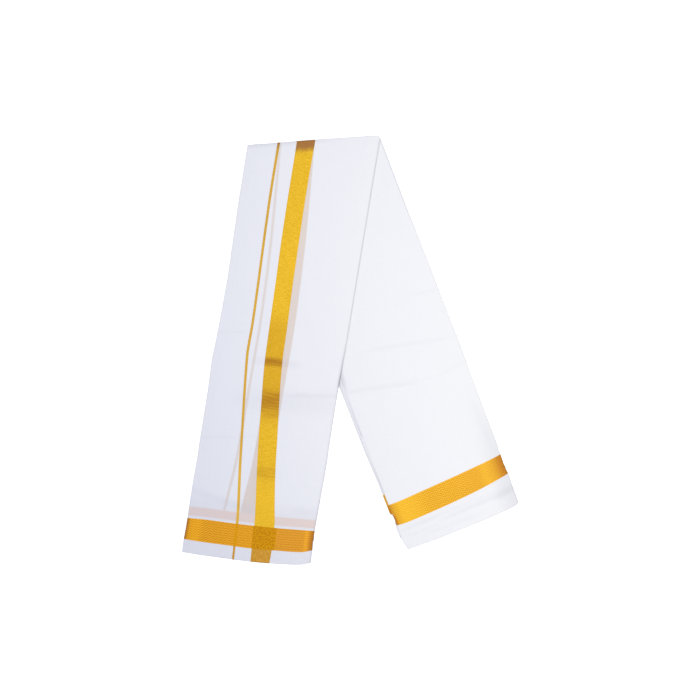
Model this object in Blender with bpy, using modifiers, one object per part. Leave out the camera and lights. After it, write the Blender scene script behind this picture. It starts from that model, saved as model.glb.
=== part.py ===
"""A white cotton angavastram, folded in four along its length, folded once across and laid flat.

The cloth is a strip four layers deep that turns over a slanted crease. Its front leg lies over its
back leg near the crease, drops to the surface beside it, and the two legs open downwards like an
upside-down V. Metres, Z up, resting on Z = 0, with the crease towards +Y. The origin is the middle
of the footprint. Each leg is shaped in its own flat frame: "across" runs from its left edge to its
right edge, "along" runs from the left end of the crease to its cut end.
"""

import bisect
import math
from collections import namedtuple

import bmesh
import bpy

# Cloth and its layers
WALL = 0.0010
HIDDEN_LAYER = 0.0008
HIDDEN_LAYERS = 3
SEAM = 0.0003
HIDDEN = HIDDEN_LAYERS * HIDDEN_LAYER
LEG_THICKNESS = HIDDEN + SEAM + WALL
FRONT_LIFT = LEG_THICKNESS + SEAM
CREASE_RADIUS = (FRONT_LIFT + LEG_THICKNESS) / 2

# Crease, where the strip turns over
CREASE_CORNER = (-0.2454, 0.4929)
CREASE_LENGTH = 0.3183
CREASE_TILT = math.radians(3.46)
CREASE_BOW = 0.0035
CREASE_SEAM = 0.0006
LEFT_CORNER_RADIUS = 0.003
RIGHT_CORNER_RADIUS = 0.010

# Distances in from each corner of the crease, nearest first. The turned layer starts at the first one
# and the hidden layers inside it start at the second.
LEFT_RUNS = (0.0008, 0.0018, 0.0030)
RIGHT_RUNS = (0.0053, 0.0070, 0.0085, 0.0100)

# How far each leg swings from straight down, to the left as seen from above
FRONT_TURN = math.radians(9.3)
BACK_TURN = math.radians(-20.8)

# Folded long edges: the face rolls under by TUCK, and the hidden layers start at FLAT_INSET
FLAT_INSET = 0.0060
TUCK = 0.0055
LAYER_ROUND = 0.0002
ROLL_STEPS = 5
TUCKED_THICKNESS = 0.0024

# Left edge of the back leg, where the face lies on hidden layers that peek out beyond it
LAID_BEND = 0.0050
LAID_DROP = 0.0008
LAID_MIDDLE = (0.0015, 0.0005)
LAID_FLAT_INSET = 0.0062

# Front leg falling from the back leg to the surface
FALL = 0.055

# Cut ends: how far before the face each hidden layer stops, lowest layer first
LAYER_STOPS = (0.024, 0.031, 0.038)
LAYER_SLOPE = 0.0008
LOWEST_TIP = 0.0004
END_SAG = 0.0011
SAG_WIDTH = 0.030

# Soft creases fade out this near a folded edge
TROUGH_FADE = 0.030

# Mesh spacing
ACROSS_STEPS = 12
ROW_SPACING = 0.045
CLOSEST_ROWS = 0.012
CREASE_STEPS = 16
TURN_STEPS = 8
SKEW_REACH = 0.40
MIDWAY = 0.50
CORNER_ROWS = (0.002, 0.006)

EdgeRow = namedtuple("EdgeRow", "along left right")
PeekRow = namedtuple("PeekRow", "along first second")
EndRow = namedtuple("EndRow", "across reach")
Trough = namedtuple("Trough", "along depth spread lean")
Leg = namedtuple("Leg", "name turn edges ends troughs peeks colour")

FRONT_EDGES = (
    EdgeRow(along=-0.08, left=0.0000, right=0.3100),
    EdgeRow(along=0.00, left=0.0000, right=0.3100),
    EdgeRow(along=0.36, left=0.0020, right=0.3100),
    EdgeRow(along=0.52, left=-0.0035, right=0.3100),
    EdgeRow(along=0.62, left=-0.0008, right=0.3095),
    EdgeRow(along=0.94, left=-0.0008, right=0.3090),
    EdgeRow(along=0.99, left=0.0015, right=0.3050),
)
FRONT_ENDS = (
    EndRow(across=0.000, reach=0.9880),
    EndRow(across=0.124, reach=0.9870),
    EndRow(across=0.170, reach=0.9850),
    EndRow(across=0.214, reach=0.9800),
    EndRow(across=0.281, reach=0.9720),
    EndRow(across=0.310, reach=0.9620),
)
FRONT_TROUGHS = (
    Trough(along=0.500, depth=0.0007, spread=0.012, lean=0.00),
    Trough(along=0.592, depth=0.0009, spread=0.028, lean=-0.14),
    Trough(along=0.770, depth=0.0005, spread=0.014, lean=0.00),
)
BACK_EDGES = (
    EdgeRow(along=0.00, left=0.0110, right=0.3040),
    EdgeRow(along=0.92, left=0.0110, right=0.3040),
    EdgeRow(along=1.01, left=0.0125, right=0.3040),
    EdgeRow(along=1.05, left=0.0144, right=0.3030),
)
BACK_ENDS = (
    EndRow(across=0.000, reach=1.0400),
    EndRow(across=0.080, reach=1.0415),
    EndRow(across=0.220, reach=1.0410),
    EndRow(across=0.280, reach=1.0355),
    EndRow(across=0.304, reach=1.0295),
)
BACK_TROUGHS = (
    Trough(along=0.475, depth=0.0003, spread=0.020, lean=0.15),
    Trough(along=0.693, depth=0.0006, spread=0.018, lean=0.30),
)
BACK_PEEKS = (
    PeekRow(along=0.000, first=0.0000, second=0.0045),
    PeekRow(along=0.660, first=0.0000, second=0.0045),
    PeekRow(along=0.784, first=0.0022, second=0.0065),
    PeekRow(along=0.865, first=0.0036, second=0.0080),
    PeekRow(along=0.952, first=0.0084, second=0.0125),
    PeekRow(along=0.985, first=0.0130, second=0.0150),
    PeekRow(along=1.050, first=0.0150, second=0.0160),
)

FRONT = Leg("front_leg", FRONT_TURN, FRONT_EDGES, FRONT_ENDS, FRONT_TROUGHS, None, (0.86, 0.87, 0.92))
BACK = Leg("back_leg", BACK_TURN, BACK_EDGES, BACK_ENDS, BACK_TROUGHS, BACK_PEEKS, (0.89, 0.90, 0.93))


def eased(share):
    """0 to 1 with a soft start and a soft stop."""
    share = min(1.0, max(0.0, share))
    return share * share * (3 - 2 * share)


def slope(table, index, column):
    """Slope of a column at a row, from the rows on both sides of it."""
    low, high = table[max(index - 1, 0)], table[min(index + 1, len(table) - 1)]
    return (getattr(high, column) - getattr(low, column)) / (high[0] - low[0])


def read(table, place, column):
    """A column of a table at a place between its rows, on a smooth curve through them."""
    places = [row[0] for row in table]
    after = min(max(bisect.bisect_right(places, place), 1), len(table) - 1)
    low, high = table[after - 1], table[after]
    span = high[0] - low[0]
    share = min(1.0, max(0.0, (place - low[0]) / span))
    bend_low = share * (1 - share) ** 2 * span * slope(table, after - 1, column)
    bend_high = share**2 * (share - 1) * span * slope(table, after, column)
    rise = eased(share) * (getattr(high, column) - getattr(low, column))
    return getattr(low, column) + rise + bend_low + bend_high


def corner_inset(distance, radius):
    """How far a round corner pulls an edge in, at this distance from the corner."""
    if distance >= radius:
        return 0.0
    return radius - math.sqrt(radius**2 - (radius - max(distance, 0.0)) ** 2)


def to_world(leg, across, along):
    """Plan position of a point of a leg."""
    cos, sin = math.cos(leg.turn), math.sin(leg.turn)
    x = CREASE_CORNER[0] + across * cos - along * sin
    y = CREASE_CORNER[1] - across * sin - along * cos
    return x, y


def across_of(leg, x, y):
    """The across value of a plan position."""
    cos, sin = math.cos(leg.turn), math.sin(leg.turn)
    return (x - CREASE_CORNER[0]) * cos - (y - CREASE_CORNER[1]) * sin


def lift(leg, across, along):
    """Height of a leg's underside: the front leg lies on the back one, then falls to the surface."""
    if leg is BACK:
        return 0.0
    beside = -across_of(BACK, *to_world(leg, across, along))
    return FRONT_LIFT * (1 - eased(beside / FALL))


def trough(leg, across, along):
    """Depth of the soft creases that cross a leg, none at its folded edges."""
    inside = min(across - read(leg.edges, along, "left"), read(leg.edges, along, "right") - across)
    depth = 0.0
    for row in leg.troughs:
        offset = along - row.along - row.lean * (across - middle(leg))
        depth += row.depth * math.exp(-((offset / row.spread) ** 2))
    return depth * eased(inside / TROUGH_FADE)


def crease_line(leg, across):
    """Along value of the crease's outermost line."""
    swing = leg.turn + CREASE_TILT
    share = across / (CREASE_LENGTH * math.cos(swing))
    share = min(1.0, max(0.0, share))
    return -across * math.tan(swing) - CREASE_BOW * 4 * share * (1 - share)


def start_of(leg, across):
    """Along value where a leg's pieces begin, just inside the crease."""
    inside = CREASE_RADIUS + CREASE_SEAM
    return crease_line(leg, across) + inside / math.cos(leg.turn + CREASE_TILT)


def end_of(leg, across):
    return read(leg.ends, across, "reach")


def middle(leg):
    """Across value halfway between a leg's folded edges, halfway down."""
    return (read(leg.edges, MIDWAY, "left") + read(leg.edges, MIDWAY, "right")) / 2


def place_along(leg, across, station):
    """Along value of a row: parallel to the crease at one end and to the cut at the other."""
    start, end = start_of(leg, middle(leg)), end_of(leg, middle(leg))
    near_start = max(0.0, 1 - (station - start) / SKEW_REACH)
    near_end = max(0.0, 1 - (end - station) / SKEW_REACH)
    along = station + near_start * (start_of(leg, across) - start)
    return along + near_end * (end_of(leg, across) - end)


def edge_at(leg, station, side):
    """Across value of a folded edge, with the round corner at the crease."""
    edge = read(leg.edges, station, side)
    reach = CREASE_RADIUS + CREASE_SEAM + station - start_of(leg, middle(leg))
    if side == "left":
        return edge + corner_inset(reach, LEFT_CORNER_RADIUS)
    return edge - corner_inset(reach, RIGHT_CORNER_RADIUS)


def flat_columns(leg, station):
    """Across values shared by a leg's face and its hidden layers, between the folded edges."""
    inset = FLAT_INSET if leg.peeks is None else LAID_FLAT_INSET
    low = edge_at(leg, station, "left") + inset
    high = edge_at(leg, station, "right") - FLAT_INSET
    return [low + (high - low) * step / ACROSS_STEPS for step in range(ACROSS_STEPS + 1)]


def body_stations(leg):
    """Rows from the crease to where the first hidden layer stops, closer together at each trough."""
    start = start_of(leg, middle(leg))
    end = end_of(leg, middle(leg)) - LAYER_STOPS[-1] - LAYER_SLOPE
    count = round((end - start) / ROW_SPACING)
    rows = [start + (end - start) * step / count for step in range(count + 1)]
    marks = [row.along + side * row.spread for row in leg.troughs for side in (-1, 0, 1)]
    marks += [start + step for step in CORNER_ROWS]
    spaced = [row for row in rows[1:-1] if all(abs(row - mark) > CLOSEST_ROWS for mark in marks)]
    return sorted([rows[0], rows[-1]] + spaced + marks)


def rolled_edge(thickness):
    """Points of a face rolled round a folded edge, as distance in from the edge and height."""
    radius = thickness / 2
    points = [(TUCK, 0.0)]
    for step in range(ROLL_STEPS + 1):
        angle = math.pi * step / ROLL_STEPS
        points.append((radius - radius * math.sin(angle), radius - radius * math.cos(angle)))
    return points


def laid_edge(thickness):
    """Points of a face that bends down on the layers peeking out beside it."""
    return [
        (0.0, thickness - LAID_DROP),
        (LAID_MIDDLE[0], thickness - LAID_MIDDLE[1]),
        (LAID_BEND, thickness),
    ]


def face_thickness(leg, station):
    """Height of a face over the underside: it comes down where the layers under it have stopped."""
    end = end_of(leg, middle(leg))
    share = eased((station - (end - LAYER_STOPS[-1])) / LAYER_STOPS[-1])
    return LEG_THICKNESS - share * (LEG_THICKNESS - TUCKED_THICKNESS)


def face_section(leg, station):
    """Outer line of a face across a leg: (across, height over the underside) from left to right."""
    thickness = face_thickness(leg, station)
    left, right = edge_at(leg, station, "left"), edge_at(leg, station, "right")
    sides = rolled_edge(thickness)
    first = sides if leg.peeks is None else laid_edge(thickness)
    section = [(left + distance, height) for distance, height in first]
    sag = END_SAG * (LEG_THICKNESS - thickness) / (LEG_THICKNESS - TUCKED_THICKNESS)
    for across in flat_columns(leg, station):
        inside = min(across - left, right - across)
        section.append((across, thickness - sag * eased(inside / SAG_WIDTH)))
    section += [(right - distance, height) for distance, height in reversed(sides)]
    return section


def layer_left(leg, station, layer):
    """Across value of a hidden layer's left edge."""
    columns = flat_columns(leg, station)
    if leg.peeks is None or layer == HIDDEN_LAYERS - 1:
        return columns[0]
    column = "first" if layer == 0 else "second"
    return min(read(leg.peeks, station, column), columns[0])


def hidden_section(leg, station, ceiling):
    """Closed line round the hidden layers, stepped at its sides and no higher than the ceiling."""
    columns = flat_columns(leg, station)
    left_side, right_side = [], []
    for layer in range(HIDDEN_LAYERS):
        low = min(layer * HIDDEN_LAYER, ceiling)
        high = min((layer + 1) * HIDDEN_LAYER, ceiling)
        nose = LAYER_ROUND * (high - low) / HIDDEN_LAYER
        left, right = layer_left(leg, station, layer), columns[-1]
        left_side += [(left, low), (left - nose, (low + high) / 2), (left, high)]
        right_side += [(right, low), (right + nose, (low + high) / 2), (right, high)]
    top = [(across, ceiling) for across in columns[1:-1]]
    bottom = [(across, 0.0) for across in columns[-2:0:-1]]
    return top + right_side[::-1] + bottom + left_side


def sheet_through(sections, closed=False):
    """A grid shaped through sections of points. Closed sections make a solid with flat ends."""
    around, rows = len(sections[0]), len(sections) - 1
    columns = around if closed else around - 1
    mesh = bmesh.new()
    bmesh.ops.create_grid(mesh, x_segments=columns, y_segments=rows, size=1.0)
    for vert in mesh.verts:
        column = round((vert.co.x + 1) / 2 * columns)
        row = round((1 - vert.co.y) / 2 * rows)
        vert.co = sections[row][column % around]
    if closed:
        bmesh.ops.remove_doubles(mesh, verts=mesh.verts[:], dist=0.00001)
        rims = [edge for edge in mesh.edges if edge.is_boundary]
        bmesh.ops.holes_fill(mesh, edges=rims, sides=0)
    bmesh.ops.triangulate(mesh, faces=mesh.faces[:], quad_method="FIXED")
    if closed:
        bmesh.ops.recalc_face_normals(mesh, faces=mesh.faces[:])
    return mesh


def cotton(name, colour):
    """Plain white cotton: matt, not metallic."""
    material = bpy.data.materials.new(name)
    material.use_nodes = True
    shader = material.node_tree.nodes["Principled BSDF"]
    shader.inputs["Base Color"].default_value = (*colour, 1.0)
    shader.inputs["Roughness"].default_value = 0.85
    shader.inputs["Metallic"].default_value = 0.0
    material.diffuse_color = (*colour, 1.0)
    return material


def add_object(name, mesh, colour, collection):
    data = bpy.data.meshes.new(name)
    mesh.to_mesh(data)
    mesh.free()
    data.materials.append(cotton(name + "_cotton", colour))
    data.shade_smooth()
    item = bpy.data.objects.new(name, data)
    collection.objects.link(item)
    return item


def thicken(item):
    """Gives an open surface its wall, on its inner side."""
    wall = item.modifiers.new("wall", "SOLIDIFY")
    wall.thickness = WALL
    wall.offset = -1.0
    wall.use_even_offset = True
    wall.use_quality_normals = True


def leg_point(leg, across, station, height):
    """World position of a point of a section, lifted with the leg and sunk in its troughs."""
    along = place_along(leg, across, station)
    x, y = to_world(leg, across, along)
    sunk = trough(leg, across, along) if height > HIDDEN - HIDDEN_LAYER / 2 else 0.0
    return x, y, lift(leg, across, along) + height - sunk


def leg_section(leg, station, section):
    return [leg_point(leg, across, station, height) for across, height in section]


def make_face(leg, collection):
    """The layer that shows, from the crease to the cut end."""
    end = end_of(leg, middle(leg))
    tail = [end - stop for stop in (LAYER_STOPS[1], LAYER_STOPS[0], LAYER_STOPS[0] / 2, 0.0)]
    stations = body_stations(leg) + tail
    sections = [leg_section(leg, row, face_section(leg, row)) for row in stations]
    thicken(add_object(leg.name + "_face", sheet_through(sections), leg.colour, collection))


def make_layers(leg, collection):
    """The hidden layers under a face, as one solid whose layers stop one after another."""
    rows = [(station, HIDDEN) for station in body_stations(leg)]
    end = end_of(leg, middle(leg))
    for layer in reversed(range(HIDDEN_LAYERS)):
        stop = end - LAYER_STOPS[layer]
        if layer < HIDDEN_LAYERS - 1:
            rows.append((stop - LAYER_SLOPE, (layer + 1) * HIDDEN_LAYER))
        rows.append((stop, max(layer * HIDDEN_LAYER, LOWEST_TIP)))
    sections = [leg_section(leg, row, hidden_section(leg, row, ceiling)) for row, ceiling in rows]
    mesh = sheet_through(sections, closed=True)
    add_object(leg.name + "_layers", mesh, leg.colour, collection)


def crease_point(run, out, height):
    """World position at a distance along the crease and a distance out from its outermost line."""
    share = run / CREASE_LENGTH
    out += CREASE_BOW * 4 * share * (1 - share)
    cos, sin = math.cos(CREASE_TILT), math.sin(CREASE_TILT)
    x = CREASE_CORNER[0] + run * cos - out * sin
    y = CREASE_CORNER[1] + run * sin + out * cos
    return x, y, height


def turn_section(run, radius):
    """Half-round line from the underside out and up to the top, pulled in at the corners."""
    pulled = corner_inset(run, LEFT_CORNER_RADIUS)
    pulled += corner_inset(CREASE_LENGTH - run, RIGHT_CORNER_RADIUS)
    section = []
    for step in range(TURN_STEPS + 1):
        angle = math.pi * step / TURN_STEPS
        out = (radius - pulled) * math.sin(angle) - CREASE_RADIUS
        section.append(crease_point(run, out, CREASE_RADIUS - radius * math.cos(angle)))
    return section


def turn_sections(radius, skipped):
    """Half-round lines from the right end of the crease to the left one, without the outermost ones."""
    first, last = LEFT_RUNS[-1], CREASE_LENGTH - RIGHT_RUNS[-1]
    runs = [CREASE_LENGTH - run for run in RIGHT_RUNS[skipped:-1]]
    runs += [last + (first - last) * step / CREASE_STEPS for step in range(CREASE_STEPS + 1)]
    runs += LEFT_RUNS[skipped:-1][::-1]
    return [turn_section(run, radius) for run in runs]


def make_crease_turn(collection):
    """The outermost layer, turning over from the front leg to the back leg."""
    sections = turn_sections(CREASE_RADIUS, skipped=0)
    thicken(add_object("crease_turn", sheet_through(sections), FRONT.colour, collection))


def make_crease_core(collection):
    """The hidden layers inside the turn, as one rounded bar."""
    sections = turn_sections(CREASE_RADIUS - WALL - CREASE_SEAM, skipped=1)
    mesh = sheet_through(sections, closed=True)
    add_object("crease_core", mesh, BACK.colour, collection)


def main():
    for item in list(bpy.data.objects):
        bpy.data.objects.remove(item)
    collection = bpy.data.collections.new("angavastram")
    bpy.context.scene.collection.children.link(collection)
    for leg in (BACK, FRONT):
        make_layers(leg, collection)
        make_face(leg, collection)
    make_crease_turn(collection)
    make_crease_core(collection)


main()
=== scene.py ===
"""The looks of a white cotton angavastram with gold zari, folded and laid flat.

The cloth is one woven length. It is folded in half along its length, selvedge on selvedge, and the
doubled cloth is folded again like a letter, so a strip four layers deep has a fold at both edges.
The strip then turns over a slanted crease. Its front leg shows the side with the gold line and the
stripe, and its back leg shows the plain side. Each leg is one sheet that runs through all its
layers. A point of a leg is given in that leg's own flat frame: "across" runs from its left edge to
its right edge, "along" runs from the left end of the crease to its cut end. Metres, Z up.
"""

import bisect
import math
from collections import namedtuple

import bmesh
import bpy
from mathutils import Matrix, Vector, noise


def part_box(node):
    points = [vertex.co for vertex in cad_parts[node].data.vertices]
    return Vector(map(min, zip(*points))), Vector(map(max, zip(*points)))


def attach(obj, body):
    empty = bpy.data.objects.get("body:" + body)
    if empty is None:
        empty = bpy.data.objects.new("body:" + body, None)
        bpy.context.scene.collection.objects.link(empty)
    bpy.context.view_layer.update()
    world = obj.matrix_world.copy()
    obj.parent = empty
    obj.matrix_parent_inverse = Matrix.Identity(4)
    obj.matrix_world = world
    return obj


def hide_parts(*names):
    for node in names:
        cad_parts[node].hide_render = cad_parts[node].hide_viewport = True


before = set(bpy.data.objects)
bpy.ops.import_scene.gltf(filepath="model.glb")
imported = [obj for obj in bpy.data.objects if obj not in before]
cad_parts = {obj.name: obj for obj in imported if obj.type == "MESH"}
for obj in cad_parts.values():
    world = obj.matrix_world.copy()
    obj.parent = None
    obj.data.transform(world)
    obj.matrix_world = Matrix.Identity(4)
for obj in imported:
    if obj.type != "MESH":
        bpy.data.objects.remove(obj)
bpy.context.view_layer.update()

# Heights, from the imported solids
LEG_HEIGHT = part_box("back_leg_face")[1].z
WHOLE_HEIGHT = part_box("crease_turn")[1].z
GAP = WHOLE_HEIGHT - 2 * LEG_HEIGHT

# The cut, and the gold that is woven into it. The line is wider low on the front leg, and thinner
# beyond its end band. The stripe is wider where it crosses that band.
SHEET = 0.00035
LINE_WIDTH = 0.0062
LINE_WIDER = 0.0006
LINE_THINNER = 0.0018
STRIPE_LEFT = 0.0425
STRIPE_RIGHT = 0.0850
CROSSING_LEFT = 0.0408
CROSSING_RIGHT = 0.0910

# Crease, where the strip turns over: a low bow, with its left end a little higher
CREASE_CORNER = (-0.2454, 0.4929)
CREASE_LENGTH = 0.3183
CREASE_TILT = math.radians(4.37)
CREASE_RISE = 0.0018
CREASE_BOW = 0.0010
CREASE_LEFT_RISE = 0.0013
CREASE_LEFT_SHARE = 0.14
CREASE_REACH = 0.0044
LEFT_CORNER_RADIUS = 0.005
RIGHT_CORNER_RADIUS = 0.0135

# How the folded cloth settles: shares of its height that it loses at a fold, the crease and a cut end
EDGE_DROP = 0.25
EDGE_REACH = 0.022
CREASE_DROP = 0.22
CREASE_SOFT = 0.030
END_DROP = 0.35
END_SOFT = 0.042
FALL = 0.055

# Broad and fine waves of the cloth that shows, so many a metre across and along
WAVE = 0.00045
BROAD_WAVES = (7.0, 9.0)
FINE_WAVES = (19.0, 26.0)
FINE_WAVE_SHARE = 0.35

# How far a soft crease runs on past its ends, and how long it takes to fade, as shares of its length
CREASE_RUN_OUT = 0.2
CREASE_FADE = 0.45

# Mesh spacing
SHOWN_COLUMNS = 72
HIDDEN_COLUMNS = 12
FLAP_COLUMNS = 5
FOLD_STEPS = 6
ROW_SPACING = 0.0044
FINE_ROW_SPACING = 0.0022
TURN_STEPS = 14
SKEW_REACH = 0.40
BAND_SKEW_REACH = 0.35

Layer = namedtuple("Layer", "height back_left back_right")
EdgeRow = namedtuple("EdgeRow", "along left right")
HiddenRow = namedtuple("HiddenRow", "along fold flap")
BorderRow = namedtuple("BorderRow", "along line left right beneath")
EndRow = namedtuple("EndRow", "across band_top band_bottom reach")
Crease = namedtuple("Crease", "across along to_across to_along depth spread")
Waves = namedtuple("Waves", "broad fine")
Leg = namedtuple("Leg", "turn edges hidden borders ends creases layers waves flipped")

# The strip's two folded edges: along, left, right
FRONT_EDGES = (
    EdgeRow(-0.08, -0.0018, 0.3088),
    EdgeRow(0.04, -0.0018, 0.3088),
    EdgeRow(0.12, -0.0018, 0.3088),
    EdgeRow(0.20, -0.0004, 0.3088),
    EdgeRow(0.32, 0.0017, 0.3088),
    EdgeRow(0.36, 0.0012, 0.3088),
    EdgeRow(0.44, -0.0005, 0.3087),
    EdgeRow(0.48, -0.0018, 0.3080),
    EdgeRow(0.52, -0.0034, 0.3072),
    EdgeRow(0.56, -0.0025, 0.3072),
    EdgeRow(0.60, -0.0014, 0.3073),
    EdgeRow(0.68, -0.0011, 0.3080),
    EdgeRow(0.72, -0.0008, 0.3088),
    EdgeRow(0.76, -0.0002, 0.3085),
    EdgeRow(0.80, -0.0009, 0.3078),
    EdgeRow(0.84, -0.0008, 0.3073),
    EdgeRow(0.92, 0.0002, 0.3063),
    EdgeRow(0.96, -0.0004, 0.3085),
    EdgeRow(0.99, 0.0005, 0.3090),
)
BACK_EDGES = (
    EdgeRow(0.00, 0.0000, 0.3024),
    EdgeRow(0.14, 0.0000, 0.3023),
    EdgeRow(0.26, 0.0000, 0.3024),
    EdgeRow(0.32, -0.0005, 0.3037),
    EdgeRow(0.38, -0.0010, 0.3040),
    EdgeRow(0.44, -0.0015, 0.3046),
    EdgeRow(0.50, -0.0020, 0.3044),
    EdgeRow(0.637, -0.0026, 0.3056),
    EdgeRow(0.70, -0.0016, 0.3044),
    EdgeRow(0.76, -0.0011, 0.3043),
    EdgeRow(0.82, 0.0001, 0.3037),
    EdgeRow(0.885, 0.0027, 0.3036),
    EdgeRow(0.91, 0.0030, 0.3024),
    EdgeRow(0.93, 0.0031, 0.3018),
    EdgeRow(0.955, 0.0034, 0.3011),
    EdgeRow(0.972, 0.0038, 0.3028),
    EdgeRow(0.980, 0.0076, 0.3031),
    EdgeRow(0.998, 0.0092, 0.3026),
    EdgeRow(1.013, 0.0056, 0.3022),
    EdgeRow(1.036, 0.0060, 0.3019),
    EdgeRow(1.05, 0.0064, 0.3016),
)

# Inside the strip, the doubled cloth's own fold and its selvedges: along, fold, flap
FRONT_HIDDEN = (
    HiddenRow(0.00, 0.0730, 0.0630),
    HiddenRow(0.36, 0.0660, 0.0580),
    HiddenRow(0.52, 0.0640, 0.0530),
    HiddenRow(0.62, 0.0520, 0.0400),
    HiddenRow(0.94, 0.0230, 0.0120),
    HiddenRow(0.99, 0.0200, 0.0105),
)
BACK_HIDDEN = (
    HiddenRow(0.00, 0.0715, 0.0617),
    HiddenRow(0.30, 0.0400, 0.0450),
    HiddenRow(0.52, 0.0130, 0.0180),
    HiddenRow(0.62, 0.0080, 0.0150),
    HiddenRow(0.90, 0.0080, 0.0235),
    HiddenRow(0.955, 0.0090, 0.0280),
    HiddenRow(1.015, 0.0085, 0.0325),
    HiddenRow(1.03, 0.0111, 0.0330),
    HiddenRow(1.05, 0.0145, 0.0340),
)

# Where the gold line and the stripe's two edges lie, and the line of the layer beneath:
# along, line, left, right, beneath
FRONT_BORDERS = (
    BorderRow(-0.03, 0.0711, 0.1136, 0.1564, 0.0735),
    BorderRow(0.10, 0.0713, 0.1137, 0.1557, 0.0830),
    BorderRow(0.20, 0.0732, 0.1147, 0.1571, 0.0897),
    BorderRow(0.32, 0.0767, 0.1176, 0.1594, 0.0948),
    BorderRow(0.42, 0.0789, 0.1199, 0.1625, 0.0970),
    BorderRow(0.49, 0.0782, 0.1216, 0.1640, 0.0966),
    BorderRow(0.54, 0.0821, 0.1245, 0.1674, 0.0960),
    BorderRow(0.60, 0.0878, 0.1300, 0.1730, 0.0955),
    BorderRow(0.68, 0.0962, 0.1367, 0.1818, 0.0952),
    BorderRow(0.76, 0.1043, 0.1452, 0.1902, 0.0931),
    BorderRow(0.84, 0.1140, 0.1550, 0.2014, 0.0868),
    BorderRow(0.89, 0.1192, 0.1605, 0.2093, 0.0835),
    BorderRow(0.96, 0.1226, 0.1643, 0.2120, 0.0790),
    BorderRow(0.99, 0.1240, 0.1663, 0.2108, 0.0770),
)
BACK_BORDERS = (
    BorderRow(-0.03, 0.0711, 0.1136, 0.1564, 0.0735),
    BorderRow(1.06, 0.0711, 0.1136, 0.1564, 0.0735),
)

# Where the end band and the cut end lie: across, band_top, band_bottom, reach
FRONT_ENDS = (
    EndRow(0.000, 0.9053, 0.9569, 0.9883),
    EndRow(0.044, 0.9021, 0.9566, 0.9881),
    EndRow(0.104, 0.9005, 0.9548, 0.9869),
    EndRow(0.160, 0.8979, 0.9532, 0.9850),
    EndRow(0.224, 0.8941, 0.9483, 0.9801),
    EndRow(0.284, 0.8889, 0.9420, 0.9727),
    EndRow(0.310, 0.8870, 0.9330, 0.9642),
)
BACK_ENDS = (
    EndRow(0.000, 0.9259, 0.9780, 1.0417),
    EndRow(0.034, 0.9260, 0.9804, 1.0425),
    EndRow(0.098, 0.9223, 0.9779, 1.0438),
    EndRow(0.154, 0.9191, 0.9747, 1.0425),
    EndRow(0.226, 0.9143, 0.9684, 1.0407),
    EndRow(0.290, 0.9089, 0.9593, 1.0356),
    EndRow(0.304, 0.9066, 0.9560, 1.0306),
)

# Soft creases, each from one place to another: across, along, to_across, to_along, depth, spread.
# They are troughs, or ridges where the depth is negative.
FRONT_CREASES = (
    Crease(0.010, 0.026, 0.160, 0.004, -0.0004, 0.010),
    Crease(-0.010, 0.457, 0.075, 0.442, 0.0009, 0.006),
    Crease(0.085, 0.5065, 0.215, 0.5005, 0.0013, 0.0115),
    Crease(0.050, 0.607, 0.330, 0.583, 0.0011, 0.034),
    Crease(0.180, 0.578, 0.330, 0.555, 0.0009, 0.006),
    Crease(-0.010, 0.711, 0.095, 0.695, 0.0009, 0.006),
    Crease(0.120, 0.775, 0.225, 0.763, 0.00065, 0.017),
    Crease(-0.030, 0.830, 0.150, 0.866, 0.0011, 0.012),
    Crease(0.235, 0.850, 0.335, 0.842, 0.0007, 0.010),
    Crease(0.286, 0.953, 0.318, 0.970, 0.0012, 0.004),
)
BACK_CREASES = (
    Crease(0.225, 0.473, 0.325, 0.487, 0.0008, 0.006),
    Crease(0.070, 0.557, 0.310, 0.607, 0.0009, 0.008),
    Crease(-0.010, 0.633, 0.190, 0.677, 0.0011, 0.008),
    Crease(0.210, 0.681, 0.330, 0.665, 0.0008, 0.006),
    Crease(0.283, 0.740, 0.290, 0.900, 0.0008, 0.011),
    Crease(0.010, 0.992, 0.320, 0.987, 0.0009, 0.006),
    Crease(0.110, 1.005, 0.290, 0.997, 0.0012, 0.006),
    Crease(0.000, 0.997, 0.110, 0.994, 0.0007, 0.004),
    Crease(0.010, 1.014, 0.100, 1.012, 0.0008, 0.004),
    Crease(0.060, 1.024, 0.210, 1.026, 0.0008, 0.005),
    Crease(0.250, 1.006, 0.330, 0.988, 0.0011, 0.010),
)

# Layers of the strip from the side with the gold line: height over the other side, and how much
# earlier than the layer that shows each one ends, at the left and the right edge
FRONT_LAYERS = {
    "face": Layer(0.00350, 0.000, 0.000),
    "face_lining": Layer(0.00285, 0.024, 0.024),
    "flap_lining": Layer(0.00220, 0.024, 0.024),
    "flap": Layer(0.00155, 0.000, 0.000),
    "under_lining": Layer(0.00087, 0.050, 0.024),
    "under": Layer(0.00020, 0.050, 0.000),
}
BACK_LAYERS = {
    "face": Layer(0.00350, 0.031, 0.000),
    "face_lining": Layer(0.00285, 0.040, 0.016),
    "flap_lining": Layer(0.00220, 0.040, 0.040),
    "flap": Layer(0.00155, 0.031, 0.029),
    "under_lining": Layer(0.00087, 0.000, 0.016),
    "under": Layer(0.00020, 0.000, 0.000),
}

# How far the lining stays inside the cloth it lines, and a flap's selvedge beyond the strip's left edge
LINING_INSET = 0.0008
FLAP_LEAST = 0.004

FRONT = Leg(
    turn=math.radians(9.3), edges=FRONT_EDGES, hidden=FRONT_HIDDEN, borders=FRONT_BORDERS, ends=FRONT_ENDS,
    creases=FRONT_CREASES, layers=FRONT_LAYERS, waves=Waves(broad=0.4, fine=5.2), flipped=False,
)
BACK = Leg(
    turn=math.radians(-20.8), edges=BACK_EDGES, hidden=BACK_HIDDEN, borders=BACK_BORDERS, ends=BACK_ENDS,
    creases=BACK_CREASES, layers=BACK_LAYERS, waves=Waves(broad=3.7, fine=8.1), flipped=True,
)

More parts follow.
